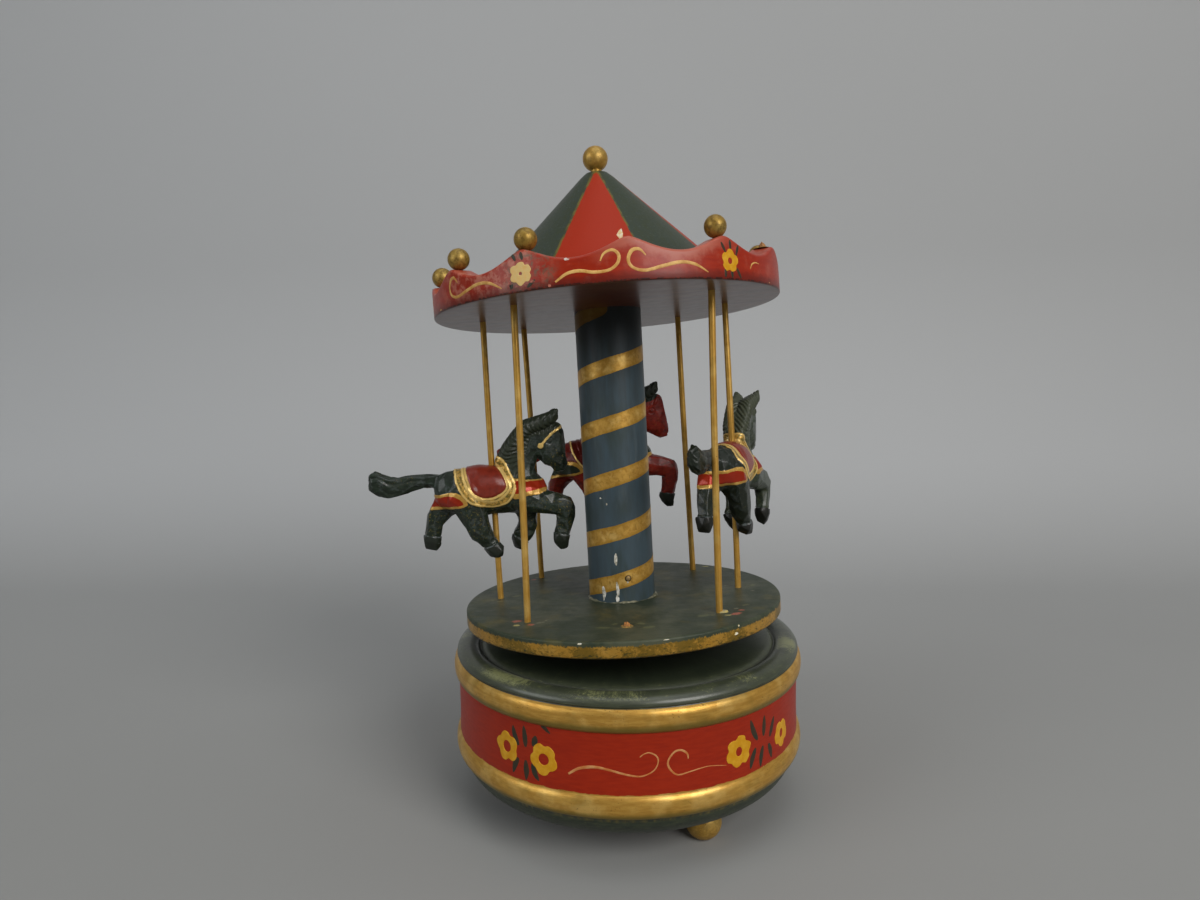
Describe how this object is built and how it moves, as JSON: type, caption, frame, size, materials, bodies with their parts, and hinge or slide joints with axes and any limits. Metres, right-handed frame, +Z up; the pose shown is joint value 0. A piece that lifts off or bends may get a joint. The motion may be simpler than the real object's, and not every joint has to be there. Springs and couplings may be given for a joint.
{
  "type": "wooden toy carousel",
  "caption": "Painted wooden toy carousel: round drum base on ball feet, turntable with column and rods, prancing horses and a scalloped canopy under a peaked roof.",
  "frame": {"origin": "middle of the drum's flat underside, on the drum's axis; the ball feet reach below it", "axes": "+Z up, -Y the front with the missing horse's empty place, +X to the right"},
  "size_m": [0.1858, 0.153, 0.2787],
  "materials": {
    "painted_drum": "satin hand paint: red band between gold beads, green above and below",
    "green_paint": "worn satin hand paint with a gold edge",
    "red_paint": "worn satin hand paint, red-brown varnish underneath",
    "striped_paint": "satin hand paint in red and green wedges",
    "blue_paint": "satin hand paint with a gold spiral band",
    "gold_paint": "worn gold paint",
    "bare_wood": "bare, slightly dirty wood",
    "dark_green_horse": "glossy hand paint with gold and red trim",
    "grey_green_horse": "glossy hand paint with gold and red trim",
    "red_horse": "glossy hand paint with gold trim"
  },
  "bodies": {
    "base": {"base_drum": "painted_drum", "base_plate": "bare_wood", "foot_1": "gold_paint", "foot_2": "gold_paint", "foot_3": "gold_paint"},
    "turntable": {"spindle": "bare_wood", "platform": "green_paint", "broken_rod_stub": "bare_wood", "column": "blue_paint", "canopy_disc": "red_paint", "canopy_roof": "striped_paint", "finial_ball": "gold_paint", "broken_peg_stub": "bare_wood", "horse_left": "dark_green_horse", "horse_back": "red_horse", "horse_right": "grey_green_horse", "rim_ball_2": "gold_paint", "rim_ball_4": "gold_paint", "rim_ball_5": "gold_paint", "rim_ball_6": "gold_paint", "rim_ball_7": "gold_paint", "rim_ball_8": "gold_paint", "rim_ball_9": "gold_paint", "rim_ball_10": "gold_paint", "rim_ball_11": "gold_paint", "rim_ball_12": "gold_paint", "rod_2": "gold_paint", "rod_3": "gold_paint", "rod_4": "gold_paint", "rod_5": "gold_paint", "rod_6": "gold_paint", "rod_7": "gold_paint", "rod_8": "gold_paint"}
  },
  "joints": [
    {"name": "turntable_turn", "type": "hinge", "parent": "base", "child": "turntable", "pos_m": [-0.00075, 0, 0.054], "axis": [-0.0375, 0.0319, 0.9988], "continuous": true}
  ]
}
